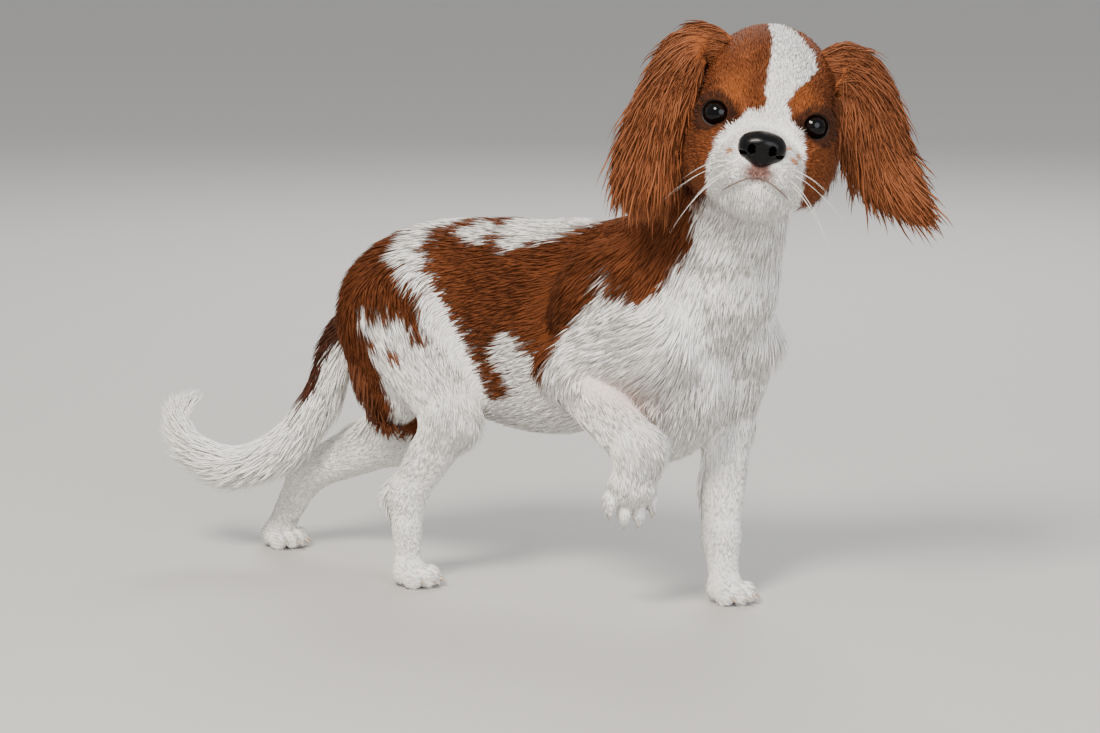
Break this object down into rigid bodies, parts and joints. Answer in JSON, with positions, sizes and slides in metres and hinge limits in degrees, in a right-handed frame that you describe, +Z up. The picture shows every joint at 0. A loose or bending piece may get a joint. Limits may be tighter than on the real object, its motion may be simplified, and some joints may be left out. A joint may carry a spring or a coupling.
{
  "type": "cavalier king charles spaniel puppy model",
  "caption": "Life-size still model of a chestnut and white spaniel puppy with long ears, standing with a raised forepaw and looking to its right.",
  "frame": {"origin": "centre of the bounding box in plan, on the floor plane under the feet", "axes": "+X towards the dog's chest along its body, +Y to the dog's left, +Z up"},
  "size_m": [0.5262, 0.1696, 0.3662],
  "materials": {
    "chestnut_coat": "soft chestnut red hair",
    "white_coat": "soft white hair",
    "nose_leather": "moist, finely pebbled black skin",
    "eye": "wet, very dark brown"
  },
  "bodies": {
    "root": {"ear_left": "chestnut_coat", "ear_right": "chestnut_coat", "eye_left": "eye", "eye_right": "eye", "foreleg_left_lower": "white_coat", "foreleg_left_paw": "white_coat", "foreleg_left_upper": "white_coat", "foreleg_right_lower": "white_coat", "foreleg_right_paw": "white_coat", "foreleg_right_upper": "white_coat", "head": "chestnut_coat", "hindleg_left_lower": "white_coat", "hindleg_left_paw": "white_coat", "hindleg_left_upper": "white_coat", "hindleg_right_lower": "white_coat", "hindleg_right_paw": "white_coat", "hindleg_right_upper": "white_coat", "neck": "chestnut_coat", "nose": "nose_leather", "tail_base": "white_coat", "tail_middle": "white_coat", "tail_tip": "white_coat", "torso": "white_coat"}
  },
  "joints": []
}
